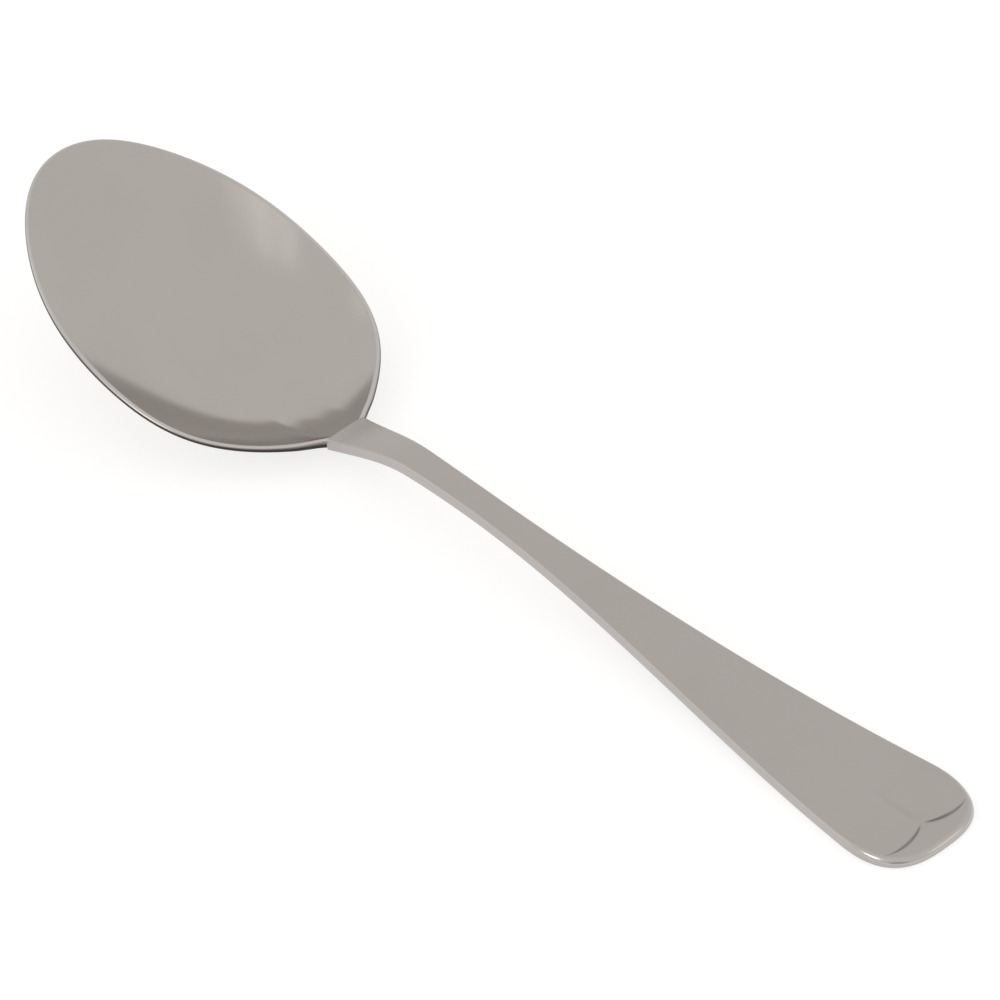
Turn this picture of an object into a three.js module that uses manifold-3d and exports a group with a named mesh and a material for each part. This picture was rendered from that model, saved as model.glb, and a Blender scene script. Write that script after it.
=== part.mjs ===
// A dinner spoon: a drawn oval bowl and a flat, arched handle that flares to a round, two-lobed end.
// Millimetres, +Z up. X runs along the spoon from the bowl's tip (-X) to the handle's end (+X).
// The spoon lies on its back on the plane z = 0, with the origin on that plane under its middle.
import * as THREE from "three";
import { mergeVertices } from "three/addons/utils/BufferGeometryUtils.js";
import Module from "manifold-3d";

const wasm = await Module();
wasm.setup();

// Overall length, from the bowl's tip to the handle's end
const LENGTH = 200;

// Bowl
const OVAL_LENGTH = 70.7; // the rim's oval, from the tip to where its sides would meet behind the neck
const BOWL_WIDTH = 44.8;
const BOWL_DEPTH = 9; // from the rim line down to the middle of the wall at its deepest point
const BOWL_WALL = 1.2;
const BOWL_DEEPEST = 35.9; // from the tip to the deepest point under the rim line
const RIM_RISE = 23.1; // how far the rim line stands higher at the tip than at the oval's other end
const RIM_SAG = 3.05; // how far mid-rim lies under the straight line between those ends
const FOOT_DEPTH = 0.25; // depth of the flat that the bowl stands on
const HEEL = 0.5; // extra thickness under the bowl where it runs into the handle
const HEEL_REACH = 14; // how far the heel reaches from the neck into the bowl
const HEEL_WIDTH = 10;
const SHOULDER = 0.1; // the bowl stands out this far beyond each side of the handle at the neck

// Handle
const NECK_WIDTH = 7.7; // where the handle meets the bowl
const NECK_STEP = 0.8; // the handle's top stands this far above the hollow's edge
const WAIST_WIDTH = 4.95;
const WAIST_REACH = 31.9; // from the neck to the waist
const END_WIDTH = 21.8;
const END_ROUND = 13; // length over which the end is rounded
const HANDLE_THICKNESS = 2.15;
const ARCH_RISE = 4.2; // the arch's crest above the handle's top at the neck
const ARCH_REACH = 18.4; // from the neck to the crest of the arch
const LEVEL_END = 15.6; // the stretch at the handle's end that lies flat
const EDGE_CHAMFER = 0.3;

// Two lobes on the handle's end, left standing by a lip that slopes down to the edge
const LOBE_RADIUS = 7.5;
const LOBE_SPREAD = 9.6; // between the centres of the lobes' arcs
const LOBE_INSET = 3; // from the lobes' ends to the handle's end
const LIP_LENGTH = 9;
const LIP_DROP = 0.8;

// Shape numbers without a unit
const OVAL_SHAPE = [0.376, -0.298, 0.177, -0.082, 0.035]; // makes an egg of the ellipse, by cosines
// The hollow's curve, by cosines round it: 1 is a parabola, less has a flat floor and a steep wall
const WALL_ROUND = [1.07, 0.19, 0.33];
const NECK_SLOPE = 0.32; // slope of the handle's top where it leaves the bowl
const NECK_TAPER = -1.31; // slope of the width curve at the neck, as a share of its fall to the waist
const FLARE = 0.99; // slope of the width curve at the end, as a share of its rise from the waist
const END_SQUARENESS = 2.7;

// Fineness of the facets
const AROUND = 96;
const RINGS = 12;
const BEAD_STEPS = 4;
const HANDLE_STEPS = 34;
const END_STEPS = 12;
const ARC_STEPS = 16;

// Places that follow from the sizes
const TIP_X = -LENGTH / 2;
const END_X = LENGTH / 2;
const HALF_WALL = BOWL_WALL / 2;

const STEEL = { color: 0xaea8a3, roughness: 0.22, metalness: 1 };

// Smooth curve from one height to another over t = 0..1, with the slopes given at both ends
function hermite(t, start, end, startSlope, endSlope) {
  const t2 = t * t;
  const t3 = t2 * t;
  return start * (2 * t3 - 3 * t2 + 1) + end * (3 * t2 - 2 * t3)
    + startSlope * (t3 - 2 * t2 + t) + endSlope * (t3 - t2);
}

// Closed solid from rings of equal point count, with a fan over each end
function solidFromRings(rings) {
  const count = rings[0].length;
  const positions = rings.flat().flatMap((point) => [point.x, point.y, point.z]);
  const index = [];
  for (let ring = 0; ring + 1 < rings.length; ring += 1) {
    for (let i = 0; i < count; i += 1) {
      const a = ring * count + i;
      const b = ring * count + ((i + 1) % count);
      index.push(a, b, a + count, b, b + count, a + count);
    }
  }
  for (const [ring, flip] of [[0, false], [rings.length - 1, true]]) {
    const centre = rings[ring].reduce((sum, point) => sum.add(point), new THREE.Vector3());
    centre.divideScalar(count);
    const hub = positions.length / 3;
    positions.push(centre.x, centre.y, centre.z);
    for (let i = 0; i < count; i += 1) {
      const a = ring * count + i;
      const b = ring * count + ((i + 1) % count);
      index.push(hub, flip ? a : b, flip ? b : a);
    }
  }
  const geometry = new THREE.BufferGeometry();
  geometry.setAttribute("position", new THREE.Float32BufferAttribute(positions, 3));
  geometry.setIndex(index);
  return geometry;
}

// Cutting and joining
function toManifold(geometry) {
  const bare = geometry.clone();
  bare.deleteAttribute("normal");
  bare.deleteAttribute("uv");
  const merged = mergeVertices(bare, 1e-5);
  const vertProperties = new Float32Array(merged.attributes.position.array);
  const triVerts = new Uint32Array(merged.index.array);
  return new wasm.Manifold(new wasm.Mesh({ numProp: 3, vertProperties, triVerts }));
}

function toGeometry(solid) {
  const mesh = solid.getMesh();
  const geometry = new THREE.BufferGeometry();
  geometry.setAttribute("position", new THREE.BufferAttribute(mesh.vertProperties, 3));
  geometry.setIndex(new THREE.BufferAttribute(mesh.triVerts, 1));
  geometry.computeVertexNormals();
  return geometry;
}

function boxBetween(low, high) {
  const size = high.clone().sub(low);
  const centre = low.clone().add(high).multiplyScalar(0.5);
  return new THREE.BoxGeometry(size.x, size.y, size.z).translate(centre.x, centre.y, centre.z);
}

// The oval rim, at the middle of the wall: theta runs from the tip (0) round to the back (PI)
const HALF_OVAL = (OVAL_LENGTH - BOWL_WALL) / 2;
const OVAL_MIDDLE = TIP_X + OVAL_LENGTH / 2;
const DEEPEST_X = TIP_X + BOWL_DEEPEST;

function eggShare(theta) {
  return OVAL_SHAPE.reduce((sum, share, i) => sum + share * Math.cos((i + 1) * theta), 0);
}

function wallRound(theta) {
  return WALL_ROUND.reduce((sum, share, i) => sum + share * Math.cos(i * theta), 0);
}

function largestHalfWidth() {
  let largest = 0;
  for (let i = 0; i <= AROUND; i += 1) {
    const theta = (Math.PI * i) / AROUND;
    largest = Math.max(largest, Math.sin(theta) * (1 + eggShare(theta)));
  }
  return largest;
}

const OVAL_SCALE = (BOWL_WIDTH / 2 - HALF_WALL) / largestHalfWidth();

// Plan of the wall: s is 0 at the deepest point, where its level lines are ellipses, and 1 at the rim
function wallPlan(s, theta) {
  const x = DEEPEST_X + (OVAL_MIDDLE - DEEPEST_X) * s ** 3 - HALF_OVAL * s * Math.cos(theta);
  return new THREE.Vector2(x, OVAL_SCALE * s * Math.sin(theta) * (1 + s * s * eggShare(theta)));
}

// Where the oval has narrowed to the neck's width, the bowl ends and the handle starts
function jointX() {
  let low = Math.PI / 2;
  let high = Math.PI;
  for (let i = 0; i < 40; i += 1) {
    const middle = (low + high) / 2;
    if (wallPlan(1, middle).y + HALF_WALL > NECK_WIDTH / 2 + SHOULDER) {
      low = middle;
    } else {
      high = middle;
    }
  }
  return wallPlan(1, low).x;
}

const JOINT_X = jointX();

// Height of the rim line at x, above its own height at the oval's end
function rimLine(x) {
  const v = (x - TIP_X) / OVAL_LENGTH;
  return RIM_RISE * (1 - v) - 4 * RIM_SAG * v * (1 - v);
}

// Middle surface of the wall: it reaches the rim line at the rim, and at the neck line behind the bowl
function wallMiddle(s, theta) {
  const plan = wallPlan(s, theta);
  const beyondNeck = Math.max(0, wallPlan(1, theta).x - JOINT_X);
  const u = s * (1 + beyondNeck / (JOINT_X - DEEPEST_X));
  const share = u * u * (wallRound(theta) + (1 - wallRound(theta)) * u * u);
  return new THREE.Vector3(plan.x, plan.y, rimLine(plan.x) - BOWL_DEPTH * (1 - share));
}

// The wall's direction up towards the rim, and its normal into the hollow
function wallDirections(s, theta) {
  const step = 1e-3;
  const at = Math.max(s, step);
  const up = wallMiddle(at + step, theta).sub(wallMiddle(at - step, theta)).normalize();
  const round = wallMiddle(at, theta + step).sub(wallMiddle(at, theta - step)).normalize();
  const inward = new THREE.Vector3().crossVectors(up, round).normalize();
  return { up, inward: inward.z < 0 ? inward.negate() : inward };
}

// Share of the heel's thickness at a point: 1 at the neck, fading out into the bowl
function heelShare(point) {
  const along = Math.max(0, JOINT_X - point.x) / HEEL_REACH;
  const across = point.y / (HEEL_WIDTH / 2);
  return THREE.MathUtils.smoothstep(1 - Math.hypot(along, across), 0, 1);
}

function insidePoint(s, theta) {
  return wallMiddle(s, theta).addScaledVector(wallDirections(s, theta).inward, HALF_WALL);
}

function outsidePoint(s, theta) {
  const middle = wallMiddle(s, theta);
  const depth = HALF_WALL + HEEL * heelShare(middle);
  return middle.addScaledVector(wallDirections(s, theta).inward, -depth);
}

function ringOf(pointAt) {
  return Array.from({ length: AROUND }, (_, i) => pointAt((2 * Math.PI * i) / AROUND));
}

// Round bead that closes the wall's edge, from the inside over the top to the outside
function beadPoint(angle, theta) {
  const { up, inward } = wallDirections(1, theta);
  const middle = wallMiddle(1, theta);
  const heel = HEEL * heelShare(middle) * ((1 - Math.cos(angle)) / 2);
  return middle
    .addScaledVector(inward, HALF_WALL * Math.cos(angle) - heel)
    .addScaledVector(up, HALF_WALL * Math.sin(angle));
}

function bowlShell() {
  const levels = Array.from({ length: RINGS }, (_, i) => (i + 1) / RINGS);
  const inside = levels.map((s) => ringOf((theta) => insidePoint(s, theta)));
  const outside = levels.map((s) => ringOf((theta) => outsidePoint(s, theta))).reverse();
  const bead = [];
  for (let i = 1; i < BEAD_STEPS; i += 1) {
    bead.push(ringOf((theta) => beadPoint((Math.PI * i) / BEAD_STEPS, theta)));
  }
  return solidFromRings([...inside, ...bead, ...outside]);
}

// Height of the hollow's edge on the neck line, before the bowl is lifted
function hollowEdgeAtNeck() {
  let low = 0.5;
  let high = 1;
  for (let i = 0; i < 40; i += 1) {
    const middle = (low + high) / 2;
    if (insidePoint(middle, Math.PI).x < JOINT_X) {
      low = middle;
    } else {
      high = middle;
    }
  }
  return insidePoint(low, Math.PI).z;
}

const shell = bowlShell();
shell.computeBoundingBox();

// The bowl is lifted until its foot, once cut flat, lies on z = 0
const LIFT = -shell.boundingBox.min.z - FOOT_DEPTH;
const NECK_TOP = LIFT + hollowEdgeAtNeck() + NECK_STEP;

function makeBowl() {
  const room = LENGTH;
  const kept = boxBetween(new THREE.Vector3(-room, -room, 0), new THREE.Vector3(JOINT_X, room, room));
  shell.translate(0, 0, LIFT);
  return toGeometry(toManifold(shell).intersect(toManifold(kept)));
}

// Handle: half-width, rounding of the end, and height of the top face along x
function handleHalfWidth(x) {
  const waistX = JOINT_X + WAIST_REACH;
  const waist = WAIST_WIDTH / 2;
  if (x < waistX) {
    const t = (x - JOINT_X) / WAIST_REACH;
    const fall = NECK_WIDTH / 2 - waist;
    return hermite(t, NECK_WIDTH / 2, waist, fall * 2 * NECK_TAPER, 0);
  }
  const t = (x - waistX) / (END_X - waistX);
  const rise = END_WIDTH / 2 - waist;
  return hermite(t, waist, END_WIDTH / 2, 0, rise * FLARE);
}

function handleTop(x) {
  const crestX = JOINT_X + ARCH_REACH;
  const crest = NECK_TOP + ARCH_RISE;
  if (x < crestX) {
    return hermite((x - JOINT_X) / ARCH_REACH, NECK_TOP, crest, NECK_SLOPE * ARCH_REACH, 0);
  }
  const t = Math.min(1, (x - crestX) / (END_X - LEVEL_END - crestX));
  return hermite(t, crest, HANDLE_THICKNESS, 0, 0);
}

function handleSection(x, halfWidth) {
  const top = handleTop(x);
  const bottom = top - HANDLE_THICKNESS;
  const chamfer = Math.min(EDGE_CHAMFER, halfWidth / 2);
  const inner = halfWidth - chamfer;
  return [
    [-inner, bottom], [inner, bottom], [halfWidth, bottom + chamfer], [halfWidth, top - chamfer],
    [inner, top], [-inner, top], [-halfWidth, top - chamfer], [-halfWidth, bottom + chamfer],
  ].map(([y, z]) => new THREE.Vector3(x, y, z));
}

function handleBar() {
  const roundX = END_X - END_ROUND;
  const sections = [];
  for (let i = 0; i < HANDLE_STEPS; i += 1) {
    const x = JOINT_X + ((roundX - JOINT_X) * i) / HANDLE_STEPS;
    sections.push(handleSection(x, handleHalfWidth(x)));
  }
  // The end follows a superellipse, closed by a narrow flat at its very tip
  const lastAngle = 0.97 * (Math.PI / 2);
  for (let i = 0; i <= END_STEPS; i += 1) {
    const angle = (lastAngle * i) / END_STEPS;
    const share = Math.sin(angle) ** (2 / END_SQUARENESS);
    const x = i === END_STEPS ? END_X : roundX + END_ROUND * share;
    sections.push(handleSection(x, handleHalfWidth(x) * Math.cos(angle) ** (2 / END_SQUARENESS)));
  }
  return solidFromRings(sections);
}

// Wedge above the lip's slope, as wide as the handle's end
function lipWedge() {
  const profile = new THREE.Shape();
  profile.moveTo(END_X - LIP_LENGTH, HANDLE_THICKNESS);
  profile.lineTo(END_X, HANDLE_THICKNESS - LIP_DROP);
  profile.lineTo(END_X + LIP_DROP, HANDLE_THICKNESS - LIP_DROP);
  profile.lineTo(END_X + LIP_DROP, HANDLE_THICKNESS + LIP_DROP);
  profile.lineTo(END_X - LIP_LENGTH, HANDLE_THICKNESS + LIP_DROP);
  const wedge = new THREE.ExtrudeGeometry(profile, { depth: END_WIDTH, bevelEnabled: false });
  return wedge.rotateX(Math.PI / 2).translate(0, END_WIDTH / 2, 0);
}

// One lobe's outline in plan: straight sides and a round end towards the handle's end
function lobePrism(side) {
  const centreX = END_X - LOBE_INSET - LOBE_RADIUS;
  const centreY = (side * LOBE_SPREAD) / 2;
  const outline = new THREE.Shape();
  outline.moveTo(centreX - LIP_LENGTH, centreY - LOBE_RADIUS);
  outline.lineTo(centreX, centreY - LOBE_RADIUS);
  outline.absarc(centreX, centreY, LOBE_RADIUS, -Math.PI / 2, Math.PI / 2, false);
  outline.lineTo(centreX - LIP_LENGTH, centreY + LOBE_RADIUS);
  const options = { depth: 3 * HANDLE_THICKNESS, bevelEnabled: false, curveSegments: ARC_STEPS };
  return new THREE.ExtrudeGeometry(outline, options).translate(0, 0, -HANDLE_THICKNESS);
}

function makeHandle() {
  const lobes = toManifold(lobePrism(1)).add(toManifold(lobePrism(-1)));
  const cut = toManifold(lipWedge()).subtract(lobes);
  return toGeometry(toManifold(handleBar()).subtract(cut));
}

const spoon = new THREE.Group();
for (const [name, geometry] of [["bowl", makeBowl()], ["handle", makeHandle()]]) {
  const mesh = new THREE.Mesh(geometry, new THREE.MeshStandardMaterial(STEEL));
  mesh.name = name;
  spoon.add(mesh);
}

export default spoon;
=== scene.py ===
# A polished steel dinner spoon: the finish of its drawn bowl and of its flat, arched, lobed handle
import math

import bmesh
import bpy
from mathutils import Matrix, Vector


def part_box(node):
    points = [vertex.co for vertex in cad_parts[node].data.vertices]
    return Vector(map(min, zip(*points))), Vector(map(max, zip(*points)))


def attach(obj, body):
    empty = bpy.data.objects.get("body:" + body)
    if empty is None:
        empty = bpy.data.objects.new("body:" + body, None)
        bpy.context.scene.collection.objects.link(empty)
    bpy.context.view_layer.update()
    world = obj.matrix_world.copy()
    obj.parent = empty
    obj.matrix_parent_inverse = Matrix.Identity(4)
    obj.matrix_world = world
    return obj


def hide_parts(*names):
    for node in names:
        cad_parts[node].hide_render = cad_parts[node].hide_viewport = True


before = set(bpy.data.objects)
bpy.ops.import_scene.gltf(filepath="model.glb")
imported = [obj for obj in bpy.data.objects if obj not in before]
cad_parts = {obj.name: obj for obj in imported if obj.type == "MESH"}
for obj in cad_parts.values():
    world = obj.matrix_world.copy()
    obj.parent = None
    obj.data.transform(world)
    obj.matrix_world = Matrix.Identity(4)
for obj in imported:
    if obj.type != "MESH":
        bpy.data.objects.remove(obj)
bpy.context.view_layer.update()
BOWL_LOW, BOWL_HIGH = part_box("bowl")
HANDLE_LOW, HANDLE_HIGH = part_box("handle")

MM = 0.001

# Places taken from the frame
TIP_X = BOWL_LOW.x
NECK_X = HANDLE_LOW.x
END_X = HANDLE_HIGH.x

# Bowl
BOWL_WIDTH = BOWL_HIGH.y - BOWL_LOW.y
OVAL_LENGTH = 70.7 * MM  # the rim's oval, from the tip to where its sides would meet behind the neck
BOWL_DEPTH = 9 * MM  # from the rim line down to the middle of the wall at its deepest point
BOWL_WALL = 1.2 * MM
BOWL_DEEPEST = 35.9 * MM  # from the tip to the deepest point under the rim line
RIM_RISE = 23.1 * MM  # how far the rim line stands higher at the tip than at the oval's other end
RIM_SAG = 3.05 * MM  # how far mid-rim lies under the straight line between those ends
RIM_EDGE = 1 * MM  # thickness that the wall is drawn down to at the rim
RIM_SHIFT = 0.7  # how far the rim moves out and up for it, as a share of what each face loses
FOOT_DEPTH = 0.25 * MM  # depth of the flat that the bowl stands on
FOOT_EASE = 0.05 * MM  # softness of that flat's edge
HEEL = 0.5 * MM  # extra thickness under the bowl where it runs into the handle
HEEL_REACH = 14 * MM
HEEL_WIDTH = 10 * MM
OVAL_SHAPE = (0.376, -0.298, 0.177, -0.082, 0.035)  # makes an egg of the ellipse, by cosines
WALL_ROUND = (1.07, 0.2, 0.34)  # roundness of the wall's section, by cosines of the turn from the tip

# Bowl's hollow and neck
HOLLOW_FILL = 1.05 * MM  # how much thicker the wall is under the hollow's middle
NECK_UNFILL = 1.6  # how strongly that filling is taken away again, up the wall beside the neck
NECK_UNFILL_TURN = 0.62  # turn from the neck, in radians, over which it is taken away
NECK_RISE = 0.9 * MM  # how far the hollow climbs just before the neck
NECK_RISE_LOST = 0.7  # share of that climb which the underside lacks
NECK_REACH = 16.5 * MM  # length of that climb
NECK_SPREAD = 9 * MM  # from the axis to where the climb is half as high
NECK_EASE = 0.8 * MM  # softness of the wall's run past the line across the neck
NECK_PINCH_REACH = 3 * MM  # length over which the bowl is drawn in to the handle's width

# Handle
NECK_WIDTH = 7.7 * MM
NECK_SLOPE = 0.24  # slope of the handle's top where it leaves the bowl
NECK_TAPER = -1.31  # slope of the half width at the neck, as a share of the width's fall
WAIST_WIDTH = 4.95 * MM
WAIST_REACH = 31.9 * MM  # from the neck to the waist
END_WIDTH = 21.8 * MM  # width that the end would have without its rounding
END_ROUND = 13 * MM  # length over which the end is rounded
END_SQUARENESS = 2.7  # power of the end's outline: 2 would be an ellipse
FLARE = 0.99  # slope of the half width at the end, as a share of its rise from the waist
HANDLE_THICKNESS = 2.15 * MM
ARCH_RISE = 3.98 * MM  # the arch's crest above the handle's top at the neck
ARCH_REACH = 18.4 * MM  # from the neck to the crest of the arch
LEVEL_END = 15.6 * MM  # the stretch at the handle's end that lies flat
EDGE_ROUND = 0.4 * MM
LIP_ROUND = 1 * MM  # the top edge's rounding at the end
LIP_ROUND_GROWTH = 0.7  # share of the rounded length over which that rounding grows
UNDER_ROUND = 0.35 * MM
CROWN = 0.12 * MM  # how far the top falls from its middle to its edges

# Ornament on the handle's end: two lobes, a crease between them and a sloping lip
LOBE_RADIUS = 7.5 * MM
LOBE_SPREAD = 9.6 * MM  # between the centres of the lobes' arcs
LOBE_INSET = 3.4 * MM  # from the lobes' fronts to the handle's end
LOBE_STEP_WIDTH = 0.25 * MM
LOBE_RUN_OUT = (0.7, 0.92)  # where the step runs out, as shares of the way out to the edge
LIP_LENGTH = 9 * MM
LIP_DROP = 0.8 * MM
LIP_EASE = 0.02  # softness of the bend where the lip's slope starts
CREASE_DEPTH = 0.18 * MM
CREASE_WIDTH = 1.1 * MM
CREASE_REACH = 26 * MM  # from the handle's end to where crease and swell have run out
PILLOW = 0.2 * MM  # how far each lobe swells

# Edge wear with a painted highlight on edges, and painted shade along the lobes' step and in the crease
RIM_WEAR_AND_HIGHLIGHT = 0.25
EDGE_WEAR_AND_HIGHLIGHT = 0.15
LOBE_LINE = 0.62
LOBE_LINE_WIDTH = 0.14 * MM
LOBE_LINE_INNER_FADE = 0.12  # share of the handle's half width over which the line starts
LOBE_LINE_OUTER_FADE = (0.83, 0.97)  # where the line ends, as shares of the way out to the edge
CREASE_LINE = 0.07
CREASE_LINE_FULL = 1 / 8  # behind the lobes' fronts, as shares of the crease's reach
CREASE_LINE_GONE = 1 / 2

# The bowl's sheet of points runs from 0 at the hollow's deepest point, over the rim, to 1 below it
BEAD_START, BEAD_END = 0.45, 0.55
RIM_CROWDING = 1.4  # power that draws the rings closer together towards the rim
RIM_WEAR_AND_HIGHLIGHT_BETWEEN = (0.45, 0.47, 0.485, 0.505)  # where edge wear and its painted highlight start, are full, fade and are gone
RIM_DARK_BETWEEN = (0.493, 0.507, 0.57, 0.6)  # the same for the painted shade under the rim, a painted dark reflection

# Fineness of the meshes
BOWL_AROUND = 288
BOWL_PROFILE = 101
SLOPE_STEP = 0.01  # step over which the bowl's slopes are taken
SHEET_WELD = 0.005 * MM
POLE_WELD = 0.05 * MM
CUT_TOLERANCE = 0.0001 * MM
HANDLE_ROWS = 120
END_ROWS = 120
TOP_COLUMNS = 144
UNDER_COLUMNS = 12
EDGE_STEPS = 6

# Steel
STEEL_COLOUR = (0.487, 0.465, 0.456)
# Lighter steel on the rim's crown and the handle's edges: partly edge wear, partly a painted highlight
WORN_HIGHLIGHT_COLOUR = (0.82, 0.8, 0.79)
DULL_COLOUR = (0.3, 0.28, 0.265)
# Painted shade: the near-black colour of the dark lines under the rim, in the lobes' step and in the
# crease
PAINTED_SHADE_COLOUR = (0.05, 0.046, 0.044)
# the handle's steel is painted a little darker than the bowl's: painted shade on the same steel
HANDLE_SHADE_SHARE = 0.94
BOWL_POLISH = 0.12
HANDLE_POLISH = 0.16
BOWL_HAIRLINES = (12, 700, 1)  # fineness along the bowl's UV map
HANDLE_HAIRLINES = (60, 5000, 60)  # fineness along the handle's axes, for each metre
WAVE_HEIGHT = 0.004 * MM

# Marks of use on the steel, and the unevenness of the painted shade: fineness is in patches of noise for
# each metre
HAIRLINE_LEVEL = 0.56  # the noise above which a hairline shows
HAIRLINE_CONTRAST = 6
HAIRLINE_DULLS = 0.03
HAIRLINE_ROUGHENS = 0.06
HAIRLINE_DEPTH = 0.01  # as a share of the waves' height
WIPE_FINENESS = 60
WIPE_LEVEL = 0.42
WIPE_CONTRAST = 4
WIPE_DULLS = 0.05
WIPE_ROUGHENS = 0.05
PAINTED_SHADE_FINENESS = 90
PAINTED_SHADE_LEAST = 0.75
PAINTED_SHADE_UNEVEN = 0.5
PAINTED_SHADE_ROUGHENS = 0.25
WAVE_FINENESS = 110


# Node trees
def node(tree, kind, **settings):
    made = tree.nodes.new(kind)
    for name, value in settings.items():
        setattr(made, name, value)
    return made


def feed(tree, value, socket):
    """Gives a socket its value: a number worked out in the tree, a plain socket or a constant."""
    if isinstance(value, Number):
        tree.links.new(value.socket, socket)
    elif isinstance(value, bpy.types.NodeSocket):
        tree.links.new(value, socket)
    else:
        socket.default_value = value


class Number:
    """A number that a node tree works out, written with the usual signs."""

    def __init__(self, tree, socket):
        self.tree = tree
        self.socket = socket

    def math(self, operation, *others):
        made = node(self.tree, "ShaderNodeMath", operation=operation)
        for value, socket in zip((self, *others), made.inputs):
            feed(self.tree, value, socket)
        return Number(self.tree, made.outputs[0])

    def __add__(self, other):
        return self.math("ADD", other)

    def __sub__(self, other):
        return self.math("SUBTRACT", other)

    def __mul__(self, other):
        return self.math("MULTIPLY", other)

    def __truediv__(self, other):
        return self.math("DIVIDE", other)

    def __neg__(self):
        return self * -1

    def __rsub__(self, other):
        return -self + other

    __radd__ = __add__
    __rmul__ = __mul__

    def at_least(self, other):
        return self.math("MAXIMUM", other)

    def at_most(self, other):
        return self.math("MINIMUM", other)

    def eased(self):
        """Smooth rise from 0 to 1."""
        held = self.at_least(0).at_most(1)
        return held * held * (3 - 2 * held)

    def between(self, starts, full, fades, gone):
        """Smooth rise from 0 to 1 between the first two places, and fall between the last two."""
        rise = ((self - starts) / (full - starts)).eased()
        fall = ((self - fades) / (gone - fades)).eased()
        return rise * (1 - fall)


def vector_math(tree, operation, *values):
    made = node(tree, "ShaderNodeVectorMath", operation=operation)
    second = made.inputs["Scale"] if operation == "SCALE" else made.inputs[1]
    for value, socket in zip(values, (made.inputs[0], second)):
        feed(tree, value, socket)
    return made.outputs["Vector"]


def joined(tree, x, y, z):
    made = node(tree, "ShaderNodeCombineXYZ")
    for value, socket in zip((x, y, z), made.inputs):
        feed(tree, value, socket)
    return made.outputs[0]


def new_group(name, kind, inputs, outputs):
    """A node group with named sockets, and its input and output nodes."""
    tree = bpy.data.node_groups.new(name, kind)
    for in_out, sockets in (("INPUT", inputs), ("OUTPUT", outputs)):
        for label, socket_type in sockets:
            tree.interface.new_socket(name=label, in_out=in_out, socket_type=socket_type)
    return tree, node(tree, "NodeGroupInput"), node(tree, "NodeGroupOutput")


# Bowl, made by a node tree from its sizes
BOWL_SIZES = {
    "Tip": TIP_X,
    "Neck": NECK_X,
    "Oval Length": OVAL_LENGTH,
    "Wall": BOWL_WALL,
    "Depth": BOWL_DEPTH,
    "Deepest": BOWL_DEEPEST,
    "Rim Rise": RIM_RISE,
    "Rim Sag": RIM_SAG,
    "Neck Ease": NECK_EASE,
    "Heel": HEEL,
    "Heel Reach": HEEL_REACH,
    "Heel Width": HEEL_WIDTH,
    "Rim Edge": RIM_EDGE,
    "Neck Rise": NECK_RISE,
    "Neck Reach": NECK_REACH,
    "Neck Spread": NECK_SPREAD,
    "Hollow Fill": HOLLOW_FILL,
}
FLOAT = "NodeSocketFloat"
SIZE_SOCKETS = [("Width Scale", FLOAT)] + [(label, FLOAT) for label in BOWL_SIZES]


def egg_share(theta):
    """What the cosines add to the ellipse's width, as a share, at a turn from the tip."""
    return sum(share * math.cos((k + 1) * theta) for k, share in enumerate(OVAL_SHAPE))


def oval_width_scale():
    """Makes the oval's widest place, at the middle of the wall, fit the bowl's width."""
    turns = [math.pi * i / BOWL_AROUND for i in range(BOWL_AROUND)]
    widest = max(math.sin(theta) * (1 + egg_share(theta)) for theta in turns)
    return (BOWL_WIDTH - BOWL_WALL) / 2 / widest


def wall_middle_tree():
    """Middle surface of the bowl's wall.

    s is 0 at the deepest point and 1 at the rim, and theta is the turn from the tip.
    """
    tree, given, result = new_group(
        "bowl_wall_middle", "GeometryNodeTree",
        [("s", FLOAT), ("theta", FLOAT)] + SIZE_SOCKETS,
        [("Position", "NodeSocketVector"), ("Wall Share", FLOAT)])
    size = {socket.name: Number(tree, socket) for socket in given.outputs if socket.name}
    s, theta = size["s"], size["theta"]
    cosine = theta.math("COSINE")
    half_oval = (size["Oval Length"] - size["Wall"]) * 0.5
    oval_middle = size["Tip"] + size["Oval Length"] * 0.5
    deepest = size["Tip"] + size["Deepest"]
    egg = sum((theta * (k + 1)).math("COSINE") * share for k, share in enumerate(OVAL_SHAPE))
    x = deepest + (oval_middle - deepest) * s * s * s - half_oval * s * cosine
    y = size["Width Scale"] * s * theta.math("SINE") * (1 + s * s * egg)
    v = (x - size["Tip"]) / size["Oval Length"]
    rim_line = size["Rim Rise"] * (1 - v) - 4 * size["Rim Sag"] * v * (1 - v)
    beyond = oval_middle - half_oval * cosine - size["Neck"]
    softened = (beyond + (beyond * beyond + size["Neck Ease"] * size["Neck Ease"]).math("SQRT")) * 0.5
    u = s * (1 + softened / (size["Neck"] - deepest))
    curve = sum((theta * k).math("COSINE") * share for k, share in enumerate(WALL_ROUND))
    share = u * u * (curve + (1 - curve) * u * u)
    feed(tree, joined(tree, x, y, rim_line - size["Depth"] * (1 - share)), result.inputs["Position"])
    feed(tree, u, result.inputs["Wall Share"])
    return tree


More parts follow.
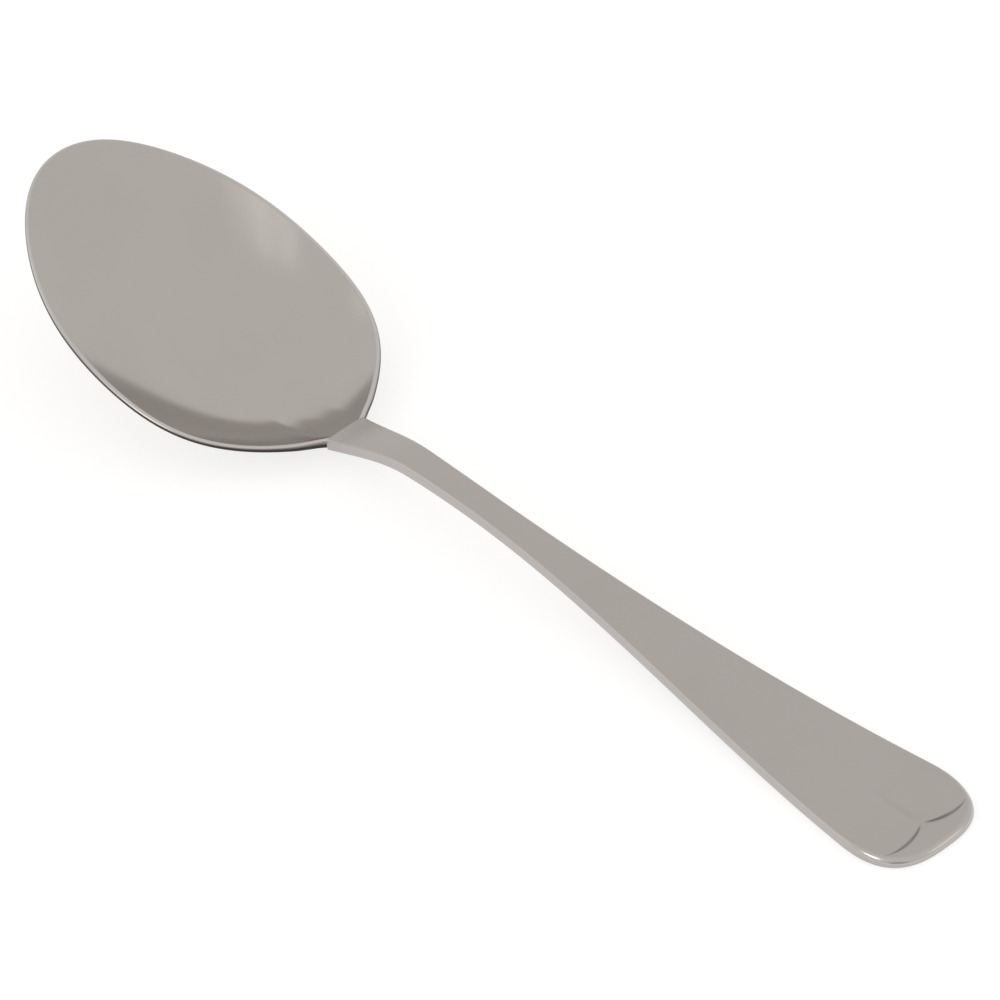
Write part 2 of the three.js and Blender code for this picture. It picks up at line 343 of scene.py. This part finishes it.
def bowl_tree():
    """A sheet of points laid over the hollow, round the rim's bead and back under the bowl."""
    tree, given, result = new_group(
        "bowl_shape", "GeometryNodeTree",
        SIZE_SOCKETS + [("Steel", "NodeSocketMaterial")], [("Geometry", "NodeSocketGeometry")])
    size = {socket.name: Number(tree, socket) for socket in given.outputs if socket.name}
    middle_tree = wall_middle_tree()

    def wall_middle(s, theta):
        made = node(tree, "GeometryNodeGroup", node_tree=middle_tree)
        feed(tree, s, made.inputs["s"])
        feed(tree, theta, made.inputs["theta"])
        for label, _ in SIZE_SOCKETS:
            feed(tree, size[label], made.inputs[label])
        return made.outputs["Position"], Number(tree, made.outputs["Wall Share"])

    def direction(after, before):
        difference = vector_math(tree, "SUBTRACT", after, before)
        return vector_math(tree, "NORMALIZE", difference)

    grid = node(tree, "GeometryNodeMeshGrid")
    grid.inputs["Vertices X"].default_value = BOWL_AROUND + 1
    grid.inputs["Vertices Y"].default_value = BOWL_PROFILE
    keep_uv = node(tree, "GeometryNodeStoreNamedAttribute", data_type="FLOAT2", domain="CORNER")
    keep_uv.inputs["Name"].default_value = "UVMap"
    tree.links.new(grid.outputs["Mesh"], keep_uv.inputs["Geometry"])
    tree.links.new(grid.outputs["UV Map"], keep_uv.inputs["Value"])

    place = node(tree, "ShaderNodeSeparateXYZ")
    tree.links.new(node(tree, "GeometryNodeInputPosition").outputs[0], place.inputs[0])
    theta = Number(tree, place.outputs[0]) * (2 * math.pi)
    along = Number(tree, place.outputs[1]) + 0.5
    level = (along / BEAD_START).at_most((1 - along) / (1 - BEAD_END)).at_most(1)
    short_of_rim = 1 - level
    s = 1 - short_of_rim.math("POWER", RIM_CROWDING)
    bead_turn = ((along - BEAD_START) / (BEAD_END - BEAD_START)).at_least(0).at_most(1) * math.pi
    turn_cosine = bead_turn.math("COSINE")
    outside = (1 - turn_cosine) * 0.5

    # Directions up the wall, round the rim and into the hollow, taken off the pole
    off_pole = s.at_least(2 * SLOPE_STEP)
    middle, wall_share = wall_middle(s, theta)
    above, below = (wall_middle(off_pole + step, theta)[0] for step in (SLOPE_STEP, -SLOPE_STEP))
    after, before = (wall_middle(off_pole, theta + step)[0] for step in (SLOPE_STEP, -SLOPE_STEP))
    up = direction(above, below)
    round_rim = direction(after, before)
    inward = vector_math(tree, "NORMALIZE", vector_math(tree, "CROSS_PRODUCT", round_rim, up))

    # Wall, heel and rim
    plan = node(tree, "ShaderNodeSeparateXYZ")
    tree.links.new(middle, plan.inputs[0])
    x, y = Number(tree, plan.outputs[0]), Number(tree, plan.outputs[1])
    from_neck = (size["Neck"] - x).at_least(0) / size["Heel Reach"]
    from_axis = y / (size["Heel Width"] * 0.5)
    away = (from_neck * from_neck + from_axis * from_axis).math("SQRT")
    thinned = (size["Wall"] - size["Rim Edge"]) * 0.5 * s * s * s
    half_wall = size["Wall"] * 0.5 - thinned
    heel = size["Heel"] * (1 - away).eased() * outside
    shift = RIM_SHIFT * thinned
    lean_in = vector_math(tree, "SCALE", inward, half_wall * turn_cosine - shift - heel)
    stand_up = vector_math(tree, "SCALE", up, half_wall * bead_turn.math("SINE") + shift)
    offset = vector_math(tree, "ADD", lean_in, stand_up)

    # Filling of the hollow and climb to the neck
    near_neck = (1 - (size["Neck"] - x) / size["Neck Reach"]).at_least(0).at_most(1)
    aside = y / size["Neck Spread"]
    rise = size["Neck Rise"] * near_neck * near_neck / (1 + aside * aside * aside * aside)
    turn_left = math.pi - theta.math("ABSOLUTE")
    beside_neck = (1 - turn_left / NECK_UNFILL_TURN).eased()
    squared = wall_share * wall_share
    fill = size["Hollow Fill"] * (1 - squared) * (1 - NECK_UNFILL * beside_neck * squared) * (1 - outside)
    raised = rise * (1 - NECK_RISE_LOST * outside) + fill
    offset = vector_math(tree, "ADD", offset, joined(tree, 0, 0, raised))

    # Painted shade under the rim, and edge wear with a painted highlight on its crown, kept with the
    # points
    painted_shade = along.between(*RIM_DARK_BETWEEN)
    worn_and_highlight = along.between(*RIM_WEAR_AND_HIGHLIGHT_BETWEEN) * RIM_WEAR_AND_HIGHLIGHT
    sheet = keep_uv.outputs["Geometry"]
    for name, value in (("painted_shade", painted_shade), ("worn_and_highlight", worn_and_highlight)):
        keep = node(tree, "GeometryNodeStoreNamedAttribute", data_type="FLOAT", domain="POINT")
        keep.inputs["Name"].default_value = name
        tree.links.new(sheet, keep.inputs["Geometry"])
        feed(tree, value, keep.inputs["Value"])
        sheet = keep.outputs["Geometry"]

    shape = node(tree, "GeometryNodeSetPosition")
    tree.links.new(sheet, shape.inputs["Geometry"])
    tree.links.new(vector_math(tree, "ADD", middle, offset), shape.inputs["Position"])
    weld = node(tree, "GeometryNodeMergeByDistance")
    weld.inputs["Distance"].default_value = SHEET_WELD
    smooth = node(tree, "GeometryNodeSetShadeSmooth")
    realize = node(tree, "GeometryNodeRealizeInstances")
    steel = node(tree, "GeometryNodeSetMaterial")
    tree.links.new(given.outputs["Steel"], steel.inputs["Material"])
    chain = (shape, weld, smooth, realize, steel)
    for before, after in zip(chain, chain[1:]):
        tree.links.new(before.outputs["Geometry"], after.inputs["Geometry"])
    tree.links.new(steel.outputs["Geometry"], result.inputs["Geometry"])
    return tree


def plain_mesh(tree, values):
    """Runs a node tree on an empty object with the values given by socket name, and keeps its mesh."""
    carrier = bpy.data.objects.new("carrier", bpy.data.meshes.new("carrier"))
    bpy.context.scene.collection.objects.link(carrier)
    modifier = carrier.modifiers.new("shape", "NODES")
    modifier.node_group = tree
    for item in tree.interface.items_tree:
        if item.in_out == "INPUT":
            modifier[item.identifier] = values[item.name]
    evaluated = carrier.evaluated_get(bpy.context.evaluated_depsgraph_get())
    mesh = bpy.data.meshes.new_from_object(evaluated)
    # Set Material leaves the carrier's own empty slot in front
    if mesh.materials[0] is None:
        mesh.materials.pop(index=0)
    bpy.data.objects.remove(carrier)
    return mesh


def new_piece(name, mesh):
    piece = bpy.data.objects.new(name, mesh)
    mesh.name = name
    bpy.context.scene.collection.objects.link(piece)
    return piece


def soft_floor(z):
    """Height above the table of a point at height z on the uncut bowl, eased onto the foot."""
    return (z + math.sqrt(z * z + FOOT_EASE * FOOT_EASE)) / 2


def make_bowl(steel):
    """The bowl, cut at the neck, drawn in there to the handle's width and set on its foot."""
    values = {**BOWL_SIZES, "Width Scale": oval_width_scale(), "Steel": steel}
    mesh = plain_mesh(bowl_tree(), values)
    bm = bmesh.new()
    bm.from_mesh(mesh)
    pole_rings = {vert for edge in bm.edges if edge.is_boundary for vert in edge.verts}
    pole_verts = sorted(pole_rings, key=lambda vert: vert.index)
    bmesh.ops.remove_doubles(bm, verts=pole_verts, dist=POLE_WELD)
    everything = bm.verts[:] + bm.edges[:] + bm.faces[:]
    cut = bmesh.ops.bisect_plane(
        bm, geom=everything, dist=CUT_TOLERANCE,
        plane_co=(NECK_X, 0, 0), plane_no=(1, 0, 0), clear_outer=True)
    neck_line = [edge for edge in cut["geom_cut"] if isinstance(edge, bmesh.types.BMEdge)]
    bmesh.ops.holes_fill(bm, edges=neck_line)
    for edge in neck_line:
        edge.smooth = False
    lift = -FOOT_DEPTH - min(vert.co.z for vert in bm.verts)
    for vert in bm.verts:
        vert.co.z = soft_floor(vert.co.z + lift)
    neck_half = max(abs(vert.co.y) for edge in neck_line for vert in edge.verts)
    for vert in bm.verts:
        near_neck = eased(1 - (NECK_X - vert.co.x) / NECK_PINCH_REACH)
        vert.co.y *= 1 + (NECK_WIDTH / 2 / neck_half - 1) * near_neck
    bm.to_mesh(mesh)
    bm.free()
    return new_piece("spoon_bowl", mesh)


# Handle
def hermite(t, start, end, start_slope, end_slope):
    """Smooth curve from one value to another over t = 0..1, with the slopes given at both ends."""
    t2 = t * t
    t3 = t2 * t
    return (start * (2 * t3 - 3 * t2 + 1) + end * (3 * t2 - 2 * t3)
            + start_slope * (t3 - 2 * t2 + t) + end_slope * (t3 - t2))


def eased(t):
    """Smooth rise from 0 to 1."""
    held = min(1, max(0, t))
    return held * held * (3 - 2 * held)


def handle_half_width(x):
    """Half the handle's width in plan, before its end is rounded."""
    waist_x = NECK_X + WAIST_REACH
    waist = WAIST_WIDTH / 2
    if x < waist_x:
        fall = NECK_WIDTH / 2 - waist
        return hermite((x - NECK_X) / WAIST_REACH, NECK_WIDTH / 2, waist, fall * 2 * NECK_TAPER, 0)
    rise = END_WIDTH / 2 - waist
    return hermite((x - waist_x) / (END_X - waist_x), waist, END_WIDTH / 2, 0, rise * FLARE)


def handle_top(x):
    """Height of the handle's top: up to the crest of the arch, then down to the level end."""
    crest_x = NECK_X + ARCH_REACH
    crest = HANDLE_HIGH.z
    if x < crest_x:
        return hermite((x - NECK_X) / ARCH_REACH, crest - ARCH_RISE, crest, NECK_SLOPE * ARCH_REACH, 0)
    t = min(1, (x - crest_x) / (END_X - LEVEL_END - crest_x))
    return hermite(t, crest, HANDLE_THICKNESS, 0, 0)


def half_outline():
    """Plan of the handle's edge on the +Y side, from the neck to the middle of the end."""
    round_x = END_X - END_ROUND
    points = []
    for i in range(HANDLE_ROWS):
        x = NECK_X + (round_x - NECK_X) * i / HANDLE_ROWS
        points.append(Vector((x, handle_half_width(x))))
    for i in range(END_ROWS):
        angle = math.pi / 2 * i / END_ROWS
        x = round_x + END_ROUND * math.sin(angle) ** (2 / END_SQUARENESS)
        points.append(Vector((x, handle_half_width(x) * math.cos(angle) ** (2 / END_SQUARENESS))))
    points.append(Vector((END_X, 0)))
    return points


def outline_normals(points):
    """Outward normals in plan. The neck's points straight aside and the end's straight along."""
    normals = [Vector((0, 1))]
    for before, after in zip(points, points[2:]):
        along = after - before
        normals.append(Vector((-along.y, along.x)).normalized())
    normals.append(Vector((1, 0)))
    return normals


def edge_share(x, y):
    """How far out a point of the handle's top lies: 0 on the axis before the end, 1 on the outline."""
    along = max(0, x - END_X + END_ROUND) / END_ROUND
    across = abs(y) / handle_half_width(x)
    return (along ** END_SQUARENESS + across ** END_SQUARENESS) ** (1 / END_SQUARENESS)


def before_lobe(x, y):
    """How far a point of the handle's top lies beyond the front of its lobe, towards the end."""
    from_lobe_axis = abs(y) - LOBE_SPREAD / 2
    reach = math.sqrt(max(0, LOBE_RADIUS ** 2 - from_lobe_axis ** 2))
    return x - (END_X - LOBE_INSET - LOBE_RADIUS + reach)


def lobe_painted_shade(x, y):
    """Painted shade: a dark line in the step along the front of the lobes, and a faint one in the crease.
    """
    beyond = before_lobe(x, y)
    from_axis = abs(y) / handle_half_width(x)
    fading, gone = LOBE_LINE_OUTER_FADE
    fade = eased(from_axis / LOBE_LINE_INNER_FADE) * eased((gone - edge_share(x, y)) / (gone - fading))
    lobe_line = LOBE_LINE * fade * math.exp(-(beyond / LOBE_LINE_WIDTH) ** 2)
    behind = -beyond / CREASE_REACH
    crease_fade = eased(behind / CREASE_LINE_FULL) * eased(1 - behind / CREASE_LINE_GONE)
    crease_line = CREASE_LINE * crease_fade * math.exp(-(2 * y / CREASE_WIDTH) ** 2)
    return lobe_line + crease_line


def end_relief(x, y):
    """How far the ornament and the crown lower the handle's top at a point."""
    from_end = END_X - x
    across = y / handle_half_width(x)
    in_front = eased(before_lobe(x, y) / LOBE_STEP_WIDTH + 0.5)
    starts, done = LOBE_RUN_OUT
    run_out = eased((edge_share(x, y) - starts) / (done - starts))
    in_lip = 1 - (1 - in_front) * (1 - run_out)
    in_slope = 1 - from_end / LIP_LENGTH
    lip = LIP_DROP * (in_slope + math.sqrt(in_slope * in_slope + LIP_EASE)) / 2
    near_end = eased(1 - (from_end - LOBE_INSET) / (CREASE_REACH - LOBE_INSET))
    crease = CREASE_DEPTH * near_end * math.exp(-(y / CREASE_WIDTH) ** 2)
    pillow = PILLOW * near_end * (1 + math.cos(2 * math.pi * across)) / 2
    return in_lip * lip + (1 - in_lip) * (crease + pillow) + CROWN * across * across


def edge_round(x):
    """Rounding of the handle's top edge, which grows towards the end."""
    grown = eased((x - END_X + END_ROUND) / (END_ROUND * LIP_ROUND_GROWTH))
    return EDGE_ROUND + (LIP_ROUND - EDGE_ROUND) * grown


def make_handle(steel):
    """The handle: rows of points over its top and its underside, joined round the edge."""
    outline = half_outline()
    normals = outline_normals(outline)
    last = len(outline) - 1
    bm = bmesh.new()

    def ladder(inner, columns, height):
        """Rows of points across the handle, from edge to edge. The last is one point on the axis."""
        rows = []
        for k, point in enumerate(inner):
            if k == last:
                rows.append([bm.verts.new((point.x, 0, height(point.x, 0)))])
                continue
            shares = [2 * j / columns - 1 for j in range(columns + 1)]
            rows.append([bm.verts.new((point.x, point.y * share, height(point.x, point.y * share)))
                         for share in shares])
        return rows

    def top_height(x, y):
        return handle_top(x) - end_relief(x, y)

    def under_height(x, y):
        return handle_top(x) - HANDLE_THICKNESS

    def fill_ladder(rows):
        for near, far in zip(rows, rows[1:]):
            if len(far) == 1:
                for a, b in zip(near, near[1:]):
                    bm.faces.new((a, b, far[0]))
                continue
            for j in range(len(near) - 1):
                bm.faces.new((near[j], near[j + 1], far[j + 1], far[j]))

    def sides(rows):
        """The ladder's edge as one line, from the neck along -Y, round the end and back along +Y."""
        return [row[0] for row in rows] + [row[-1] for row in reversed(rows[:-1])]

    def edge_line(inset, height):
        """One line of points along the edge, at an inset and a height given for each outline point."""
        half = []
        for k, (point, normal) in enumerate(zip(outline, normals)):
            plan = point - normal * inset(k)
            half.append((plan.x, plan.y if k < last else 0, height(k)))
        near = [bm.verts.new((x, -y, z)) for x, y, z in half]
        far = [bm.verts.new((x, y, z)) for x, y, z in reversed(half[:-1])]
        return near + far

    top_radius = [edge_round(point.x) for point in outline]
    top_inner = [point - normal * radius for point, normal, radius in zip(outline, normals, top_radius)]
    under_inner = [point - normal * UNDER_ROUND for point, normal in zip(outline, normals)]
    top_edge = [top_height(point.x, point.y) for point in top_inner]
    under_edge = [under_height(point.x, point.y) for point in under_inner]

    # painted shade in the lobes' step and crease, and edge wear with a painted highlight on the top edge
    painted_shade = bm.verts.layers.float.new("painted_shade")
    worn_and_highlight = bm.verts.layers.float.new("worn_and_highlight")
    top_rows = ladder(top_inner, TOP_COLUMNS, top_height)
    for row in top_rows:
        for vert in row:
            # painted shade in the lobes' step and the crease
            vert[painted_shade] = lobe_painted_shade(vert.co.x, vert.co.y)
    under_rows = ladder(under_inner, UNDER_COLUMNS, under_height)
    lines = [sides(top_rows)]
    for j in range(1, EDGE_STEPS + 1):
        turn = math.pi / 2 * j / EDGE_STEPS
        lines.append(edge_line(
            lambda k: top_radius[k] * (1 - math.sin(turn)),
            lambda k: top_edge[k] - top_radius[k] * (1 - math.cos(turn))))
        for vert in lines[-1]:
            # edge wear with a painted highlight along the rounding of the top edge
            vert[worn_and_highlight] = EDGE_WEAR_AND_HIGHLIGHT * math.sin(2 * turn)
    for j in range(EDGE_STEPS):
        turn = math.pi / 2 * j / EDGE_STEPS
        lines.append(edge_line(
            lambda k: UNDER_ROUND * (1 - math.cos(turn)),
            lambda k: under_edge[k] + UNDER_ROUND * (1 - math.sin(turn))))
    lines.append(sides(under_rows))

    fill_ladder(top_rows)
    fill_ladder(under_rows)
    for upper, lower in zip(lines, lines[1:]):
        for i in range(len(upper) - 1):
            bm.faces.new((upper[i], upper[i + 1], lower[i + 1], lower[i]))
    open_edges = [edge for edge in bm.edges if edge.is_boundary]
    bmesh.ops.holes_fill(bm, edges=open_edges)
    for face in bm.faces:
        face.smooth = True
    for edge in open_edges:
        edge.smooth = False
    bmesh.ops.recalc_face_normals(bm, faces=bm.faces)
    mesh = bpy.data.meshes.new("spoon_handle")
    bm.to_mesh(mesh)
    bm.free()
    mesh.materials.append(steel)
    return new_piece("spoon_handle", mesh)


# Steel
def marks_and_painted_light():
    """Marks on polished steel: hairlines and wipe marks from use, edge wear with a painted highlight, and
    painted shade in corners and under the rim.
    """
    tree, given, result = new_group(
        "marks_and_painted_light", "ShaderNodeTree",
        [("Tone", "NodeSocketColor"), ("Polish", FLOAT),
         ("Along Polish", "NodeSocketVector"), ("Wave", FLOAT)],
        [("Colour", "NodeSocketColor"), ("Roughness", FLOAT), ("Normal", "NodeSocketVector")])
    place = node(tree, "ShaderNodeTexCoord").outputs["Object"]

    def noise(where, scale, detail):
        made = node(tree, "ShaderNodeTexNoise")
        tree.links.new(where, made.inputs["Vector"])
        made.inputs["Scale"].default_value = scale
        made.inputs["Detail"].default_value = detail
        return Number(tree, made.outputs["Fac"])

    def mixed(share, first, second):
        made = node(tree, "ShaderNodeMix", data_type="RGBA")
        for value, identifier in ((share, "Factor_Float"), (first, "A_Color"), (second, "B_Color")):
            feed(tree, value, next(socket for socket in made.inputs if socket.identifier == identifier))
        return next(socket for socket in made.outputs if socket.identifier == "Result_Color")

    hairline_noise = noise(given.outputs["Along Polish"], 1, 3)
    hairlines = ((hairline_noise - HAIRLINE_LEVEL) * HAIRLINE_CONTRAST).eased()
    wipe_marks = ((noise(place, WIPE_FINENESS, 4) - WIPE_LEVEL) * WIPE_CONTRAST).eased()
    # painted shade, from the attribute kept with the points, made patchy by noise
    painted_shade_node = node(tree, "ShaderNodeAttribute", attribute_name="painted_shade")
    patches = PAINTED_SHADE_LEAST + PAINTED_SHADE_UNEVEN * noise(place, PAINTED_SHADE_FINENESS, 2)
    painted_shade = (Number(tree, painted_shade_node.outputs["Fac"]) * patches).at_least(0).at_most(1)
    # edge wear with a painted highlight, from the attribute kept with the points
    edge = node(tree, "ShaderNodeAttribute", attribute_name="worn_and_highlight")
    dulled = wipe_marks * WIPE_DULLS + hairlines * HAIRLINE_DULLS
    tone = mixed(dulled, given.outputs["Tone"], (*DULL_COLOUR, 1))
    # lightened on the rim's crown and the edges: edge wear and a painted highlight
    tone = mixed(edge.outputs["Fac"], tone, (*WORN_HIGHLIGHT_COLOUR, 1))
    # painted shade: darkened towards near black in the lobes' step, the crease and under the rim
    feed(tree, mixed(painted_shade, tone, (*PAINTED_SHADE_COLOUR, 1)), result.inputs["Colour"])
    roughness = Number(tree, given.outputs["Polish"])
    for mark, roughens in (
            (wipe_marks, WIPE_ROUGHENS), (hairlines, HAIRLINE_ROUGHENS), (painted_shade, PAINTED_SHADE_ROUGHENS)):
        roughness = roughness + roughens * mark
    feed(tree, roughness, result.inputs["Roughness"])
    waves = node(tree, "ShaderNodeBump")
    waves.inputs["Strength"].default_value = 1
    feed(tree, given.outputs["Wave"], waves.inputs["Distance"])
    relief = noise(place, WAVE_FINENESS, 1) + HAIRLINE_DEPTH * hairlines
    feed(tree, relief, waves.inputs["Height"])
    feed(tree, waves.outputs["Normal"], result.inputs["Normal"])
    return tree


def steel_material(name, marks, tone_share, polish, coordinates, stretch):
    """Polished steel. Stretch gives the fineness of its hairlines along each of the coordinates."""
    steel = bpy.data.materials.new(name)
    steel.use_nodes = True
    tree = steel.node_tree
    shader = tree.nodes["Principled BSDF"]
    shader.inputs["Metallic"].default_value = 1
    along_polish = node(tree, "ShaderNodeMapping")
    along_polish.inputs["Scale"].default_value = stretch
    tree.links.new(node(tree, "ShaderNodeTexCoord").outputs[coordinates], along_polish.inputs["Vector"])
    finish = node(tree, "ShaderNodeGroup", node_tree=marks)
    finish.inputs["Tone"].default_value = (*(tone_share * part for part in STEEL_COLOUR), 1)
    finish.inputs["Polish"].default_value = polish
    finish.inputs["Wave"].default_value = WAVE_HEIGHT
    tree.links.new(along_polish.outputs["Vector"], finish.inputs["Along Polish"])
    tree.links.new(finish.outputs["Colour"], shader.inputs["Base Color"])
    tree.links.new(finish.outputs["Roughness"], shader.inputs["Roughness"])
    tree.links.new(finish.outputs["Normal"], shader.inputs["Normal"])
    return steel


# Studio
FLOOR_HALF = 6
FLOOR_Z = -0.02 * MM  # just under the spoon, so that no two faces lie in one plane
PAPER_WHITE = 0.9
PAPER_GLOW = 1.19
PAPER_GLOW_SHARE = 0.6


def make_floor():
    """White paper that looks white to the camera and in the steel, and keeps the spoon's shadow."""
    mesh = bpy.data.meshes.new("floor")
    corners = [(-1, -1), (1, -1), (1, 1), (-1, 1)]
    mesh.from_pydata([(x * FLOOR_HALF, y * FLOOR_HALF, FLOOR_Z) for x, y in corners], [], [(0, 1, 2, 3)])
    floor = new_piece("floor", mesh)
    paper = bpy.data.materials.new("white_paper")
    paper.use_nodes = True
    tree = paper.node_tree
    tree.nodes.clear()
    output = node(tree, "ShaderNodeOutputMaterial")
    diffuse = node(tree, "ShaderNodeBsdfDiffuse")
    diffuse.inputs["Color"].default_value = (PAPER_WHITE, PAPER_WHITE, PAPER_WHITE, 1)
    glow = node(tree, "ShaderNodeEmission")
    glow.inputs["Strength"].default_value = PAPER_GLOW
    mix = node(tree, "ShaderNodeMixShader")
    path = node(tree, "ShaderNodeLightPath")
    seen = Number(tree, path.outputs["Is Camera Ray"]).at_least(path.outputs["Is Glossy Ray"])
    seen = seen.at_least(path.outputs["Is Transmission Ray"])
    feed(tree, seen * PAPER_GLOW_SHARE, mix.inputs["Fac"])
    tree.links.new(diffuse.outputs[0], mix.inputs[1])
    tree.links.new(glow.outputs[0], mix.inputs[2])
    tree.links.new(mix.outputs[0], output.inputs["Surface"])
    mesh.materials.append(paper)
    return floor


# Light tent, and places in it: direction, radius and soft edge in degrees, light as a share of the tent's
TENT_LIGHT = 0.87
TENT_COLOUR = (1, 0.97, 0.925, 1)
TENT_PLACES = (
    ((0.22, -0.32, 0.92), 1, 6, 1.14),
    ((0.09, -0.39, 0.915), 1, 6, 1.25),
    ((-0.04, -0.46, 0.887), 1, 6, 1.2),
    ((-0.08, -0.72, 0.69), 4, 5, 3),
    ((-0.06, -0.84, 0.54), 7, 5, 3.6),
    ((-0.62, -0.58, 0.53), 8, 10, 1.3),
    ((0.74, 0.5, 0.45), 9, 9, 1.4),
    ((0.72, -0.66, 0.16), 14, 12, 0.6),
)


def make_studio_light():
    """An even light tent, with a few softly brighter and darker places in it."""
    world = bpy.data.worlds.new("light_tent")
    bpy.context.scene.world = world
    world.use_nodes = True
    tree = world.node_tree
    direction = node(tree, "ShaderNodeTexCoord").outputs["Generated"]
    light = 1.0
    for centre, radius, edge, share in TENT_PLACES:
        towards = node(tree, "ShaderNodeVectorMath", operation="DOT_PRODUCT")
        tree.links.new(direction, towards.inputs[0])
        towards.inputs[1].default_value = Vector(centre).normalized()
        outer, inner = math.cos(math.radians(radius + edge)), math.cos(math.radians(radius))
        inside = ((Number(tree, towards.outputs["Value"]) - outer) * (1 / (inner - outer))).eased()
        light = light + (share - light) * inside
    background = tree.nodes["Background"]
    background.inputs["Color"].default_value = TENT_COLOUR
    feed(tree, light * TENT_LIGHT, background.inputs["Strength"])


# Camera
CAMERA_ELEVATION = math.radians(39.83)
CAMERA_AZIMUTH = math.radians(54.71)
CAMERA_ROLL = math.radians(-9.02)
CAMERA_DISTANCE = 996.2 * MM
CAMERA_TARGET = Vector((-6.8 * MM, 8.25 * MM, 0))
CAMERA_LENS = 234.4
CAMERA_SENSOR = 36
CAMERA_FAR = 50


def make_camera():
    """A camera at the photograph's viewing angle."""
    camera = bpy.data.objects.new("camera", bpy.data.cameras.new("camera"))
    bpy.context.scene.collection.objects.link(camera)
    level = math.cos(CAMERA_ELEVATION)
    back = Vector((
        math.sin(CAMERA_AZIMUTH) * level, -math.cos(CAMERA_AZIMUTH) * level, math.sin(CAMERA_ELEVATION)))
    right = Vector((math.cos(CAMERA_AZIMUTH), math.sin(CAMERA_AZIMUTH), 0))
    turned = Matrix.Rotation(CAMERA_ROLL, 3, back)
    right = turned @ right
    axes = Matrix((right, back.cross(right), back)).transposed()
    camera.matrix_world = Matrix.LocRotScale(CAMERA_TARGET + back * CAMERA_DISTANCE, axes, None)
    camera.data.lens = CAMERA_LENS
    camera.data.sensor_width = CAMERA_SENSOR
    camera.data.clip_end = CAMERA_FAR
    bpy.context.scene.camera = camera


def main():
    bpy.context.scene.view_settings.view_transform = "Standard"
    make_camera()
    make_studio_light()
    make_floor()
    marks = marks_and_painted_light()
    bowl_steel = steel_material("bowl_steel", marks, 1, BOWL_POLISH, "UV", BOWL_HAIRLINES)
    handle_steel = steel_material(
        "handle_steel", marks, HANDLE_SHADE_SHARE, HANDLE_POLISH, "Object", HANDLE_HAIRLINES)
    bowl = make_bowl(bowl_steel)
    handle = make_handle(handle_steel)
    for piece, cad_node, slot in ((bowl, "bowl", "bowl_steel"), (handle, "handle", "handle_steel")):
        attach(piece, "root")
        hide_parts(cad_node)


main()
